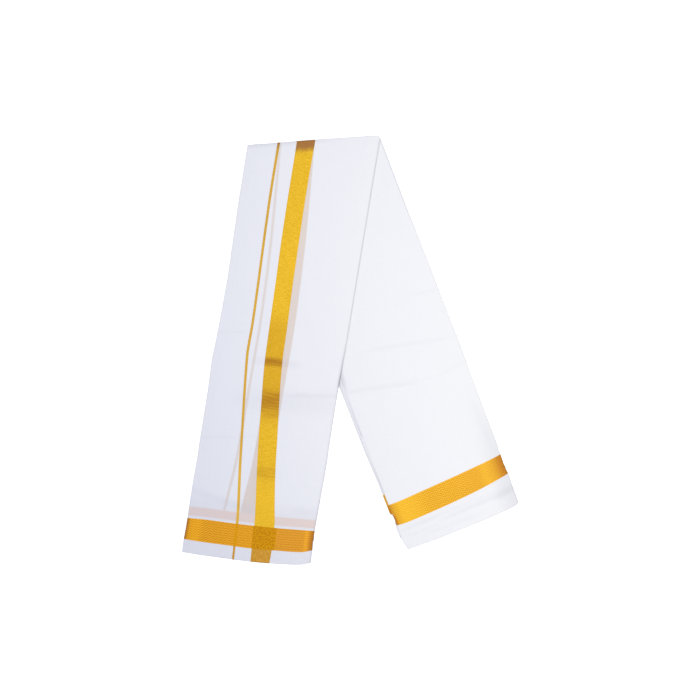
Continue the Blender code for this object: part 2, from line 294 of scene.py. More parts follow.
# Halfway across a leg
MIDDLE = 0.155

# Marks kept on each point for the finishes: distances in metres, the rest as shares. Cloth with
# nothing lying on it counts as OPEN, and a dip as deep as DEEP counts as 1.
MARKS = ("from_left", "from_right", "from_crease", "beside", "shown", "dip")
OPEN = 1.0
DEEP = 0.0012

SectionPoint = namedtuple("SectionPoint", "across height layer run shown")


def eased(share):
    """0 to 1 with a soft start and a soft stop."""
    share = min(1.0, max(0.0, share))
    return share * share * (3 - 2 * share)


def slope(table, index, column):
    """How steeply a column rises at one of a table's rows."""
    low, high = table[max(index - 1, 0)], table[min(index + 1, len(table) - 1)]
    return (getattr(high, column) - getattr(low, column)) / (high[0] - low[0])


def read(table, place, column):
    """A column of a table at a place between its rows, on a smooth curve through them."""
    after = min(max(bisect.bisect_right(table, place, key=lambda row: row[0]), 1), len(table) - 1)
    low, high = table[after - 1], table[after]
    span = high[0] - low[0]
    share = min(1.0, max(0.0, (place - low[0]) / span))
    bend_low = share * (1 - share) ** 2 * span * slope(table, after - 1, column)
    bend_high = share**2 * (share - 1) * span * slope(table, after, column)
    rise = eased(share) * (getattr(high, column) - getattr(low, column))
    return getattr(low, column) + rise + bend_low + bend_high


def to_world(leg, across, along):
    """World position of a place on a leg, at the surface."""
    cos, sin = math.cos(leg.turn), math.sin(leg.turn)
    return Vector((
        CREASE_CORNER[0] + across * cos - along * sin,
        CREASE_CORNER[1] - across * sin - along * cos,
        0.0,
    ))


def to_leg(leg, point):
    """The across and along values of a plan position."""
    cos, sin = math.cos(leg.turn), math.sin(leg.turn)
    x, y = point.x - CREASE_CORNER[0], point.y - CREASE_CORNER[1]
    return x * cos - y * sin, -x * sin - y * cos


def corner_inset(distance, radius):
    """How far a round corner pulls an edge in, at this distance from the corner."""
    if distance >= radius:
        return 0.0
    return radius - math.sqrt(radius**2 - (radius - max(distance, 0.0)) ** 2)


def crease_line(leg, across):
    """Along value of the crease's outermost line."""
    swing = leg.turn + CREASE_TILT
    share = min(1.0, max(0.0, across / (CREASE_LENGTH * math.cos(swing))))
    rise = CREASE_RISE + CREASE_BOW * 4 * share * (1 - share)
    rise += CREASE_LEFT_RISE * (1 - eased(share / CREASE_LEFT_SHARE))
    return -across * math.tan(swing) - rise / math.cos(swing)


def start_of(leg, across):
    """Along value where the turn over the crease begins."""
    return crease_line(leg, across) + CREASE_REACH / math.cos(leg.turn + CREASE_TILT)


def station_of(leg, column):
    """Along value of an end line halfway across the leg."""
    return read(leg.ends, MIDDLE, column)


def cloth_along(leg, across, station):
    """Place of a row on the cloth: parallel to the crease at first, then straight across."""
    start = start_of(leg, MIDDLE)
    near_start = max(0.0, 1 - (station - start) / SKEW_REACH)
    return station + near_start * (start_of(leg, across) - start)


def end_skew(leg, across, station):
    """How far the end band and the cut end pull a row along, by how they slant across the leg."""
    columns = ("band_top", "band_bottom", "reach")
    top, bottom, end = (station_of(leg, column) for column in columns)
    at_top, at_bottom, at_end = (
        read(leg.ends, across, column) - station_of(leg, column) for column in columns
    )
    if station < top:
        return at_top * max(0.0, 1 - (top - station) / BAND_SKEW_REACH)
    if station < bottom:
        return at_top + (at_bottom - at_top) * (station - top) / (bottom - top)
    return at_bottom + (at_end - at_bottom) * (station - bottom) / (end - bottom)


def edge_at(leg, station, side):
    """Across value of an outer fold, with the round corner at the crease."""
    edge = read(leg.edges, station, side)
    reach = CREASE_REACH + station - start_of(leg, MIDDLE)
    if side == "left":
        return edge + corner_inset(reach, LEFT_CORNER_RADIUS)
    return edge - corner_inset(reach, RIGHT_CORNER_RADIUS)


def straight(start, stop, layer, height, count, shown):
    """Section points along a flat stretch, its ends included."""
    return [(start + (stop - start) * step / count, height, layer, shown) for step in range(count + 1)]


def fold(edge, side, first, last, layer):
    """Section points round a half-round fold, its ends left out. Side is -1 at the left, 1 at the right."""
    radius, centre = abs(last - first) / 2, (first + last) / 2
    turn = 1 if last > first else -1
    points = []
    for step in range(1, FOLD_STEPS):
        angle = math.pi * (step / FOLD_STEPS - 0.5)
        across = edge - side * radius * (1 - math.cos(angle))
        points.append((across, centre + turn * radius * math.sin(angle), layer, 0.0))
    return points


def section(leg, station):
    """The cloth's path through the strip, from one selvedge to the other."""
    height = {name: layer.height for name, layer in leg.layers.items()}
    left, right = edge_at(leg, station, "left"), edge_at(leg, station, "right")
    own_fold, flap = read(leg.hidden, station, "fold"), read(leg.hidden, station, "flap")
    flap = max(flap, left + FLAP_LEAST)
    outer_left = abs(height["face"] - height["flap"]) / 2
    inner_left = abs(height["face_lining"] - height["flap_lining"]) / 2
    outer_right = abs(height["face"] - height["under"]) / 2
    inner_right = abs(height["face_lining"] - height["under_lining"]) / 2
    own = abs(height["under_lining"] - height["under"]) / 2
    face_columns, under_columns = SHOWN_COLUMNS, HIDDEN_COLUMNS
    if leg.flipped:
        face_columns, under_columns = under_columns, face_columns
    lining_left, lining_right = left + LINING_INSET, right - LINING_INSET
    points = straight(flap, left + outer_left, "flap", height["flap"], FLAP_COLUMNS, 0.0)
    points += fold(left, -1, height["flap"], height["face"], "face")
    anchor = len(points)
    points += straight(left + outer_left, right - outer_right, "face", height["face"], face_columns, 1.0)
    points += fold(right, 1, height["face"], height["under"], "face")
    points += straight(right - outer_right, own_fold + own, "under", height["under"], under_columns, 0.0)
    points += fold(own_fold, -1, height["under"], height["under_lining"], "under")
    lining_start, lining_end = lining_right - inner_right, lining_left + inner_left
    points += straight(
        own_fold + own, lining_start, "under_lining", height["under_lining"], HIDDEN_COLUMNS, 0.0
    )
    points += fold(lining_right, 1, height["under_lining"], height["face_lining"], "under_lining")
    points += straight(
        lining_start, lining_end, "face_lining", height["face_lining"], HIDDEN_COLUMNS, 0.0
    )
    points += fold(lining_left, -1, height["face_lining"], height["flap_lining"], "face_lining")
    points += straight(
        lining_end, flap - LINING_INSET, "flap_lining", height["flap_lining"], FLAP_COLUMNS, 0.0
    )
    return with_runs(points, anchor)


def with_runs(points, anchor):
    """Adds to each point its distance along the cloth, which equals across on the face."""
    runs = [0.0] * len(points)
    runs[anchor] = points[anchor][0]
    for index in range(anchor + 1, len(points)):
        runs[index] = runs[index - 1] + math.dist(points[index][:2], points[index - 1][:2])
    for index in range(anchor - 1, -1, -1):
        runs[index] = runs[index + 1] - math.dist(points[index][:2], points[index + 1][:2])
    return [SectionPoint(a, h, layer, run, shown) for (a, h, layer, shown), run in zip(points, runs)]


def setback(leg, point, station):
    """How much earlier a hidden layer lies, growing from the crease to the cut end."""
    layer = leg.layers[point.layer]
    left, right = read(leg.edges, station, "left"), read(leg.edges, station, "right")
    share = min(1.0, max(0.0, (point.across - left) / (right - left)))
    grown = max(0.0, station) / station_of(leg, "reach")
    return grown * (layer.back_left + (layer.back_right - layer.back_left) * share)


def edge_share(leg, across, station):
    """Share of its full height that a leg has near its folded edges."""
    left, right = read(leg.edges, station, "left"), read(leg.edges, station, "right")
    inside = min(across - left, right - across)
    return 1 - EDGE_DROP * (1 - eased(inside / EDGE_REACH))


def crease_share(leg, across, along):
    """Share of its full height that the cloth has near the crease."""
    return 1 - CREASE_DROP * (1 - eased((along - crease_line(leg, across)) / CREASE_SOFT))


def end_share(leg, across, along):
    """Share of its full height that a leg has near its cut end."""
    return 1 - END_DROP * (1 - eased((read(leg.ends, across, "reach") - along) / END_SOFT))


def lift(leg, point):
    """Height of a leg's underside: the front leg lies on the back one, then falls to the surface."""
    if leg is BACK:
        return 0.0
    across, along = to_leg(BACK, point)
    carried = GAP + LEG_HEIGHT * edge_share(BACK, max(across, 0.0), along)
    return carried * (1 - eased(-across / FALL))


def relief(leg, across, along):
    """Height that the soft creases add to the layer that shows."""
    height = 0.0
    for crease in leg.creases:
        run = Vector((crease.to_across - crease.across, crease.to_along - crease.along))
        offset = Vector((across - crease.across, along - crease.along))
        share = offset.dot(run) / run.length_squared
        from_end = min(share, 1 - share) + CREASE_RUN_OUT
        if from_end <= 0:
            continue
        aside = offset.cross(run) / run.length
        fade = eased(from_end / CREASE_FADE)
        height -= crease.depth * fade * math.exp(-((aside / crease.spread) ** 2))
    return height


def waves(leg, across, along):
    """Broad uneven waves of cloth that was ironed and laid down."""
    broad = Vector((across * BROAD_WAVES[0], along * BROAD_WAVES[1], leg.waves.broad))
    fine = Vector((across * FINE_WAVES[0], along * FINE_WAVES[1], leg.waves.fine))
    return WAVE * (noise.noise(broad) + FINE_WAVE_SHARE * noise.noise(fine))


def inside_share(leg, across, along):
    """0 at the folded edges and the crease, 1 well inside the leg."""
    left, right = read(leg.edges, along, "left"), read(leg.edges, along, "right")
    inside = min(across - left, right - across)
    return eased(inside / EDGE_REACH) * eased((along - crease_line(leg, across)) / CREASE_SOFT)


def leg_point(leg, point, station):
    """World position of a section point on a row of a leg, and its along value."""
    along = cloth_along(leg, point.across, station) + end_skew(leg, point.across, station)
    along -= setback(leg, point, station)
    place = to_world(leg, point.across, along)
    height = LEG_HEIGHT - point.height if leg.flipped else point.height
    share = height / LEG_HEIGHT
    raised = height * edge_share(leg, point.across, station) * end_share(leg, point.across, along)
    raised += share * inside_share(leg, point.across, along) * (
        relief(leg, point.across, along) + waves(leg, point.across, along)
    )
    place.z = (lift(leg, place) + raised) * crease_share(leg, point.across, along)
    return place, along


def turn_point(leg, point, start, angle):
    """World position of a section point on a row of the turn over the crease, and its along value."""
    place, along = leg_point(leg, point, start)
    centre = crease_centre(leg, point)
    radius = place.z - centre
    out = Vector((-math.sin(CREASE_TILT), math.cos(CREASE_TILT), 0.0))
    place = place + out * (radius * math.sin(angle))
    place.z = centre + radius * math.cos(angle)
    return place, along - abs(radius) * angle


def crease_centre(leg, point):
    """Height of the line that the strip turns about, halfway through the folded cloth."""
    share = edge_share(leg, point.across, start_of(leg, MIDDLE))
    carried = GAP / 2 + LEG_HEIGHT * share
    return carried * crease_share(leg, point.across, start_of(leg, point.across))


def stations_of(leg):
    """Rows from the crease to the cut end, closer together where the cloth curves."""
    start, end = start_of(leg, MIDDLE), station_of(leg, "reach")
    marks = (
        (start, start + CREASE_SOFT, FINE_ROW_SPACING),
        (start + CREASE_SOFT, end - END_SOFT, ROW_SPACING),
        (end - END_SOFT, end, FINE_ROW_SPACING),
    )
    stations = [start]
    for low, high, spacing in marks:
        count = math.ceil((high - low) / spacing)
        stations += [low + (high - low) * step / count for step in range(1, count + 1)]
    return stations


def cloth_across(leg, run, along):
    """Distance on the cloth from the gold line, with the stripe's edges at their own places."""
    row = {column: read(leg.borders, along, column) for column in ("line", "left", "right")}
    if run <= row["line"]:
        return run - row["line"]
    if run <= row["left"]:
        return STRIPE_LEFT * (run - row["line"]) / (row["left"] - row["line"])
    if run <= row["right"]:
        width = STRIPE_RIGHT - STRIPE_LEFT
        return STRIPE_LEFT + width * (run - row["left"]) / (row["right"] - row["left"])
    return STRIPE_RIGHT + run - row["right"]


def beside_cloth(leg, point, station, place):
    """How far a point lies from the edge of the cloth that lies on it."""
    if leg is FRONT:
        return OPEN
    across, along = to_leg(FRONT, place)
    beside_front = across - read(FRONT.edges, along, "right")
    beside_fold = read(leg.hidden, station, "fold") - point.across
    if point.layer in ("under", "under_lining") or beside_fold < 0:
        return beside_front
    return min(beside_front, beside_fold)


def marks_of(leg, point, station, place, along):
    """What the finishes need to know of a point, by name."""
    left, right = read(leg.edges, station, "left"), read(leg.edges, station, "right")
    if leg is BACK and point.layer in ("under", "under_lining"):
        left = read(leg.hidden, station, "fold")
    return {
        "from_left": point.across - left,
        "from_right": right - point.across,
        "from_crease": along - crease_line(leg, point.across),
        "beside": beside_cloth(leg, point, station, place),
        "shown": point.shown,
        "dip": max(0.0, -relief(leg, point.across, along)) / DEEP,
    }


def make_sheet(leg, with_turn):
    """One leg's cloth as a grid shaped row by row, with its places on the cloth kept with it."""
    start = start_of(leg, MIDDLE)
    rows = [(station, 0.0) for station in stations_of(leg)]
    if with_turn:
        rows = [(start, math.pi * step / TURN_STEPS) for step in range(TURN_STEPS, 0, -1)] + rows
    sections = [section(leg, station) for station, _ in rows]
    columns = len(sections[0]) - 1
    mesh = bmesh.new()
    bmesh.ops.create_grid(mesh, x_segments=columns, y_segments=len(rows) - 1, size=1.0)
    cloth = mesh.loops.layers.uv.new("cloth")
    beneath = mesh.loops.layers.uv.new("beneath")
    kept = {name: mesh.verts.layers.float.new(name) for name in MARKS}
    places = {}
    for vert in mesh.verts:
        column = round((vert.co.x + 1) / 2 * columns)
        row = round((1 - vert.co.y) / 2 * (len(rows) - 1))
        (station, angle), point = rows[row], sections[row][column]
        on_cloth = cloth_along(leg, point.across, station)
        place, along = leg_point(leg, point, station)
        if angle:
            flat = along
            place, along = turn_point(leg, point, station, angle)
            on_cloth += along - flat
        vert.co = place
        here = max(along, FRONT_BORDERS[0].along)
        places[vert] = (
            (cloth_across(leg, point.run, here), on_cloth),
            (point.across - read(leg.borders, here, "beneath"), along),
        )
        for name, value in marks_of(leg, point, station, place, along).items():
            vert[kept[name]] = value
    for face in mesh.faces:
        face.smooth = True
        for loop in face.loops:
            loop[cloth].uv, loop[beneath].uv = places[loop.vert]
    return mesh


def add_piece(name, mesh, material):
    data = bpy.data.meshes.new(name)
    mesh.to_mesh(data)
    mesh.free()
    data.materials.append(material)
    piece = bpy.data.objects.new(name, data)
    bpy.context.scene.collection.objects.link(piece)
    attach(piece, "root")
    return piece


class Nodes:
    """Adds shader nodes to a material, each in one line."""

    def __init__(self, name):
        self.material = bpy.data.materials.new(name)
        self.material.use_nodes = True
        self.tree = self.material.node_tree
        self.shader = self.tree.nodes["Principled BSDF"]

    def add(self, kind, inputs=(), **settings):
        node = self.tree.nodes.new(kind)
        for key, value in settings.items():
            setattr(node, key, value)
        for key, value in dict(inputs).items():
            self.put(node.inputs[key], value)
        return node

    def put(self, socket, value):
        if isinstance(value, bpy.types.NodeSocket):
            self.tree.links.new(value, socket)
        else:
            socket.default_value = value

    def attribute(self, name):
        return self.add("ShaderNodeAttribute", attribute_name=name).outputs["Fac"]

    def uv(self, name):
        split = self.add("ShaderNodeSeparateXYZ", {0: self.add("ShaderNodeUVMap", uv_map=name).outputs[0]})
        return split.outputs[0], split.outputs[1]

    def math(self, operation, first, second=0.0):
        return self.add("ShaderNodeMath", {0: first, 1: second}, operation=operation).outputs[0]

    def vector(self, x, y):
        return self.add("ShaderNodeCombineXYZ", {0: x, 1: y}).outputs[0]

    def rise(self, value, low, high):
        """0 below low, 1 above high, soft between. Falls instead where high is the lower one."""
        node = self.add("ShaderNodeMapRange", {0: value}, interpolation_type="SMOOTHSTEP")
        ends = (low, high, 0.0, 1.0) if low < high else (high, low, 1.0, 0.0)
        for index, end in enumerate(ends, start=1):
            node.inputs[index].default_value = end
        return node.outputs[0]

    def between(self, value, low, high, soft):
        """1 between low and high, soft at both."""
        start, stop = self.rise(value, low - soft, low + soft), self.rise(value, high + soft, high - soft)
        return self.math("MULTIPLY", start, stop)

    def mix(self, factor, first, second):
        node = self.add("ShaderNodeMix", data_type="RGBA")
        for index, value in ((0, factor), (6, first), (7, second)):
            if not isinstance(value, bpy.types.NodeSocket) and index:
                value = (*value, 1.0)
            self.put(node.inputs[index], value)
        return node.outputs[2]

    def noise(self, vector, detail=2.0):
        node = self.add("ShaderNodeTexNoise", {"Vector": vector, "Scale": 1.0, "Detail": detail})
        return node.outputs[0]

    def threads(self, place, per_across, per_along, detail=2.0):
        """Uneven marks on the cloth, so many a metre across and along it."""
        across, along = self.times(place.across, per_across), self.times(place.along, per_along)
        return self.noise(self.vector(across, along), detail)

    def times(self, first, second):
        return self.math("MULTIPLY", first, second)

    def plus(self, first, *more):
        total = first
        for value in more:
            total = self.math("ADD", total, value)
        return total

    def both(self, *masks):
        total = masks[0]
        for mask in masks[1:]:
            total = self.times(total, mask)
        return total

    def any_of(self, *masks):
        total = masks[0]
        for mask in masks[1:]:
            total = self.math("MAXIMUM", total, mask)
        return total


def tone(red, green, blue):
    """Linear colour of a tone given as it is seen, each part from 0 to 255."""
    return tuple(((value / 255 + 0.055) / 1.055) ** 2.4 for value in (red, green, blue))


# Tones of the cotton and the gold, and of the painted shade and painted sheen on them
COTTON = (0.812, 0.812, 0.828)
THIN_COTTON = (0.792, 0.792, 0.810)
BORDER_THROUGH = (0.716, 0.628, 0.562)
BAND_THROUGH = (0.796, 0.670, 0.612)
STRIPE_LIGHT = tone(220, 177, 50)
STRIPE_DEEP = tone(200, 156, 18)
# Painted shade where the stripe is folded
STRIPE_SHADE = tone(161, 109, 24)
# Painted sheen of the stripe
STRIPE_SHEEN = tone(238, 190, 44)
LINE_LIGHT = tone(206, 164, 66)
LINE_DEEP = tone(186, 142, 46)
# Painted sheen of the line, low on the front leg
LINE_SHEEN = tone(222, 178, 70)
CROSS_LIGHT = tone(208, 148, 0)
CROSS_DEEP = tone(170, 106, 0)
CROSS_LINE = tone(219, 155, 14)
BEYOND_LIGHT = tone(202, 151, 58)
BEYOND_DEEP = tone(186, 132, 38)
# Painted shade on the end bands: towards the right fold, and at the band's ends by the folds
BAND_SIDE_SHADE = tone(174, 110, 62)
BAND_RIM_SHADE = tone(168, 106, 30)
# Painted shade, dark brown, of the gold where it turns over the crease
CREASE_SHADE_BROWN = tone(149, 100, 58)
SHADE = (0.10, 0.10, 0.19)
GOLD_SHADE = (0.10, 0.055, 0.02)

# Marks of the threads, so many a metre across and along the cloth
SLUB_FINE = 900.0
SLUB_LONG = 16.0
GRAIN = (420.0, 320.0)
STREAKS = (70.0, 520.0)
# The next two streak the painted shade on the folded stripe and at the crease, not the threads
FOLD_SHADE_STREAKS = (22.0, 330.0)
CREASE_SHADE_STREAKS = (420.0, 40.0)
GHOST_THREADS = (60.0, 420.0)
BAND_GRAIN = (380.0, 380.0)
CROSSING_STREAKS = (540.0, 240.0)
BEYOND_GRAIN = (330.0, 120.0)

# How much of the gold's unevenness is grain and not streaks, and the finer detail that grain has
GRAIN_SHARE = 0.65
FINE_DETAIL = 3.0

# Woven repeats, threads along the band's edges, and how softly one colour meets another
WEAVE = 0.0006
RIB = 0.0058
CHEVRON = 0.0095
DOT_ACROSS = 0.008
DOT_ALONG = 0.006
CROSSING_WAVE = 0.013
CROSSING_SWAY = 0.0012
EDGE_THREAD = 0.0014
SOFT = 0.0004

# The border of the layer beneath: half the line, the stripe, and the band above the one on top
GHOST_LINE = 0.0032
GHOST_STRIPE = (0.0386, 0.0829)
GHOST_BAND = (0.0280, 0.0062)
GHOST_SOFT = 0.0016

# Feel of the cloth: roughness, shine, and the relief of its threads
COTTON_ROUGHNESS = 0.88
ZARI_SMOOTHER = 0.42
ZARI_METAL = 0.30
SPECULAR = 0.06
SHEEN = 0.04
SHEEN_ROUGHNESS = 0.5
WEAVE_RELIEF = 0.25
SLUB_RELIEF = 0.35
RIB_RELIEF = 1.2
RELIEF_STRENGTH = 0.25
RELIEF_DEPTH = 0.0004

Place = namedtuple("Place", ("across", "along", *MARKS))

# Parts of the cloth, by their distance in metres from one of its marks. A Rise grows from nothing at
# its start to all at its full end, and a Stretch is all between its two ends, softly. Each row of a
# list below has a strength first, and then the ranges that a place must be in to have it.
Rise = namedtuple("Rise", "mark start full")
Stretch = namedtuple("Stretch", "mark low high soft")

# Painted sheen and shade on the broad stripe, and painted brown shade on line and stripe at the crease
STRIPE_SHEENS = [(0.15, Stretch("along", 0.22, 0.33, 0.05)), (0.26, Rise("along", 0.76, 0.84))]
STRIPE_FOLD_SHADE = [(0.28, Stretch("along", 0.400, 0.640, 0.035))]
STRIPE_STREAKED_SHADE = [(0.38, Stretch("along", 0.548, 0.640, 0.020))]
LINE_CREASE_SHADE = [(0.72, Rise("from_crease", 0.029, 0.007))]
STRIPE_CREASE_SHADE = [(0.90, Rise("from_crease", 0.040, 0.021))]
CREASE_SHADE_UNEVEN = 0.010

# The end bands: where each is dotted, where it has painted sheen, and painted shade to the right and at its
# ends
Band = namedtuple("Band", "light deep glowing ribbed dotted glow dim rim")
FRONT_BAND = Band(
    light=tone(230, 168, 42), deep=tone(196, 125, 10), glowing=tone(243, 177, 34), ribbed=0.34,
    dotted=[(0.68, Rise("from_left", 0.125, 0.060))],
    glow=[
        (0.40, Stretch("from_left", 0.010, 0.036, 0.008)),
        (0.60, Stretch("from_right", 0.0150, 0.0205, 0.004)),
    ],
    dim=[(0.20, Rise("from_right", 0.115, 0.080))],
    rim=[(1.0, Rise("from_left", 0.0092, 0.0008)), (1.0, Rise("from_right", 0.0140, 0.0034))],
)
# Painted shade at the back band's left end, by its fold
BACK_BAND_LEFT_SHADE = (Rise("from_left", 0.0085, 0.0018), Rise("beside", 0.010, 0.014))
BACK_BAND = Band(
    light=tone(216, 168, 52), deep=tone(194, 134, 20), glowing=tone(229, 181, 48), ribbed=0.22,
    dotted=[(0.68, Stretch("from_left", 0.070, 0.195, 0.012))],
    glow=[
        (0.48, Rise("from_left", 0.006, 0.026), Rise("from_left", 0.110, 0.030)),
        (0.30, Stretch("from_right", 0.037, 0.060, 0.010)),
    ],
    dim=[(0.08, Rise("from_right", 0.150, 0.070))],
    rim=[
        (0.35, *BACK_BAND_LEFT_SHADE),
        (0.65, *BACK_BAND_LEFT_SHADE, Rise("along", 0.938, 0.960)),
        (1.0, Rise("from_right", 0.0325, 0.0015)),
    ],
)

# Shade: lists for the folds, of which the darkest counts, and one for broad shade on bare cotton.
# The front leg is darkest along its right fold where it leaves the back leg.
Shade = namedtuple("Shade", "folds broad")
FRONT_RIM = Rise("from_right", 0.0042, 0.0004)
FRONT_SOFT_RIM = Rise("from_right", 0.0090, 0.0010)
LEAVING = Stretch("along", 0.455, 0.550, 0.035)
LOWER_RIM = Rise("along", 0.54, 0.64)
FRONT_SHADE = Shade(
    folds=[[
        (0.16, FRONT_RIM),
        (0.08, FRONT_RIM, LEAVING),
        (0.03, FRONT_RIM, LOWER_RIM),
        (0.25, FRONT_RIM, Stretch("along", 0.512, 0.540, 0.012)),
        (0.11, FRONT_SOFT_RIM, LEAVING),
        (0.05, FRONT_SOFT_RIM, LOWER_RIM),
        (0.05, Rise("from_left", 0.0040, 0.0)),
    ]],
    broad=[
        (0.058, Rise("along", 0.830, 0.864)),
        (0.14, Rise("from_crease", 0.017, -0.002), Rise("from_left", 0.240, 0.140)),
    ],
)
BACK_RIM = Rise("from_right", 0.0050, 0.0004)
UNCOVERED = Rise("beside", -0.020, -0.012)
BESIDE = (Rise("beside", 0.0036, 0.0002), UNCOVERED)
ON_LAYERS = (Rise("beside", 0.028, 0.0), Rise("from_left", 0.014, 0.004), UNCOVERED)
BACK_SHADE = Shade(
    folds=[
        [
            (0.05, BACK_RIM),
            (0.13, BACK_RIM, Rise("from_crease", 0.26, 0.16)),
            (0.05, BACK_RIM, Rise("along", 0.955, 0.985)),
        ],
        [(0.08, Rise("from_left", 0.0030, 0.0002))],
        [(0.17, *BESIDE), (0.14, *BESIDE, Stretch("along", 0.572, 0.602, 0.012))],
    ],
    broad=[
        (0.12, *ON_LAYERS),
        (0.11, *ON_LAYERS, Stretch("along", 0.590, 0.640, 0.020)),
        (0.03, *ON_LAYERS, Stretch("along", 0.77, 0.88, 0.03)),
        (0.13, Rise("from_right", 0.060, 0.004), Rise("along", 0.74, 0.96)),
    ],
)
DIP_SHADE = 0.10
GOLD_KEEPS = 0.6


def strength(nodes, place, rows):
    """The strengths of the rows added up, each where all of its ranges hold."""
    total = 0.0
    for amount, *ranges in rows:
        for mark, *ends in ranges:
            value = getattr(place, mark)
            mask = nodes.rise(value, *ends) if len(ends) == 2 else nodes.between(value, *ends)
            amount = nodes.times(mask, amount)
        total = nodes.plus(amount, total)
    return total


def woven_cotton(nodes, place):
    """White cotton, uneven along both its threads, with its slubs."""
    slub = nodes.plus(
        nodes.threads(place, SLUB_FINE, SLUB_LONG), nodes.threads(place, SLUB_LONG, SLUB_FINE)
    )
    white = nodes.mix(nodes.rise(slub, 0.70, 1.25), THIN_COTTON, COTTON)
    return white, slub


def seen_through(nodes, place, leg, white):
    """The same border on the layer beneath, seen faintly through the cotton."""
    across, _ = nodes.uv("beneath")
    top = station_of(leg, "band_top")
    band_start, band_end = (top - offset for offset in GHOST_BAND)
    line = nodes.times(nodes.between(across, -GHOST_LINE, GHOST_LINE, GHOST_SOFT), 0.75)
    stripe = nodes.between(across, *GHOST_STRIPE, GHOST_SOFT)
    thin = nodes.plus(nodes.times(nodes.threads(place, *GHOST_THREADS), 0.5), 0.74)
    fainter = nodes.math("SUBTRACT", 1.0, nodes.times(nodes.rise(place.along, 0.820, 0.890), 0.28))
    above_band = nodes.rise(place.along, band_end, top - 0.0080)
    lengthwise = nodes.both(nodes.any_of(line, stripe), above_band, thin, fainter, place.shown)
    band = nodes.times(
        nodes.rise(place.along, band_start - 0.0020, band_start + 0.0035),
        nodes.rise(place.along, band_end + 0.0012, band_end - 0.0012),
    )
    white = nodes.mix(lengthwise, white, BORDER_THROUGH)
    return nodes.mix(nodes.both(band, place.shown), white, BAND_THROUGH)


def zari_share(nodes, place):
    """How light gold thread is: fine grain, and streaks that lie across the cloth."""
    grain = nodes.threads(place, *GRAIN, FINE_DETAIL)
    streak = nodes.threads(place, *STREAKS)
    return nodes.plus(nodes.times(grain, GRAIN_SHARE), nodes.times(streak, 1 - GRAIN_SHARE))


def zari(nodes, share, light, deep):
    """Gold thread, from deep to light by its share."""
    return nodes.mix(nodes.rise(share, 0.40, 0.60), deep, light)


def stripe_gold(nodes, place, share):
    """The broad stripe with painted sheen, and painted shade, streaked, where a crease crosses it."""
    # Painted sheen in two stretches along the stripe
    glow = strength(nodes, place, STRIPE_SHEENS)
    colour = nodes.mix(glow, zari(nodes, share, STRIPE_LIGHT, STRIPE_DEEP), STRIPE_SHEEN)
    # Painted shade, streaked, where the stripe is folded
    shade_streaks = nodes.rise(nodes.threads(place, *FOLD_SHADE_STREAKS), 0.40, 0.62)
    streaked_shade = nodes.times(shade_streaks, strength(nodes, place, STRIPE_STREAKED_SHADE))
    fold_shade = nodes.any_of(strength(nodes, place, STRIPE_FOLD_SHADE), streaked_shade)
    colour = nodes.mix(fold_shade, colour, STRIPE_SHADE)
    # Painted shade, deeper where the cloth dips
    uneven = nodes.plus(nodes.times(share, 0.6), nodes.times(shade_streaks, 0.3))
    sunk_shade = nodes.rise(nodes.plus(place.dip, uneven), 0.55, 1.75)
    return nodes.mix(sunk_shade, colour, STRIPE_SHADE)


def crease_brown_shade(nodes, place, colour, line, stripe):
    """Painted shade, dark brown, on the gold where the cloth folds over the crease."""
    streak = nodes.times(nodes.threads(place, *CREASE_SHADE_STREAKS), CREASE_SHADE_UNEVEN)
    uneven = place._replace(from_crease=nodes.plus(place.from_crease, streak))
    on_line = nodes.times(line, strength(nodes, uneven, LINE_CREASE_SHADE))
    on_stripe = nodes.times(stripe, strength(nodes, uneven, STRIPE_CREASE_SHADE))
    return nodes.mix(nodes.any_of(on_line, on_stripe), colour, CREASE_SHADE_BROWN)


def herringbone(nodes, place):
    """Ribs in a zigzag across the cloth, from -1 to 1."""
    zigzag = nodes.math("PINGPONG", nodes.math("DIVIDE", place.across, CHEVRON), 0.5)
    turn = nodes.plus(nodes.math("DIVIDE", place.along, RIB), zigzag)
    return nodes.math("SINE", nodes.times(turn, 2 * math.pi))


def even_dots(nodes, place, repeat_across, repeat_along):
    """Small dots in even rows, from -1 to 1."""
    return nodes.times(
        nodes.math("SINE", nodes.times(place.across, 2 * math.pi / repeat_across)),
        nodes.math("SINE", nodes.times(place.along, 2 * math.pi / repeat_along)),
    )


def band_gold(nodes, place, leg, looks):
    """Gold of the end band, a bright thread along each edge, with painted sheen and painted shade near its
    ends.
    """
    ribs = herringbone(nodes, place)
    dots = nodes.times(even_dots(nodes, place, DOT_ACROSS, DOT_ALONG), strength(nodes, place, looks.dotted))
    grain = nodes.math("SUBTRACT", nodes.threads(place, *BAND_GRAIN, FINE_DETAIL), 0.5)
    share = nodes.plus(nodes.times(ribs, looks.ribbed), dots, nodes.times(grain, 1.5), 0.5)
    top, bottom = station_of(leg, "band_top"), station_of(leg, "band_bottom")
    top_thread = nodes.between(place.along, top, top + EDGE_THREAD, SOFT)
    bottom_thread = nodes.between(place.along, bottom - EDGE_THREAD, bottom, SOFT)
    bright = nodes.any_of(share, nodes.times(nodes.any_of(top_thread, bottom_thread), 0.85))
    # Painted sheen
    glow = nodes.times(strength(nodes, place, looks.glow), nodes.plus(0.55, nodes.times(share, 0.9)))
    colour = nodes.mix(glow, nodes.mix(bright, looks.deep, looks.light), looks.glowing)
    # Painted shade towards the right fold
    colour = nodes.mix(strength(nodes, place, looks.dim), colour, BAND_SIDE_SHADE)
    # Painted shade at the band's ends, by the folds, less on its lighter threads
    rim_shade_by_threads = nodes.math("SUBTRACT", 1.05, nodes.times(share, 0.24))
    rim = nodes.times(strength(nodes, place, looks.rim), rim_shade_by_threads)
    return nodes.mix(rim, colour, BAND_RIM_SHADE), ribs


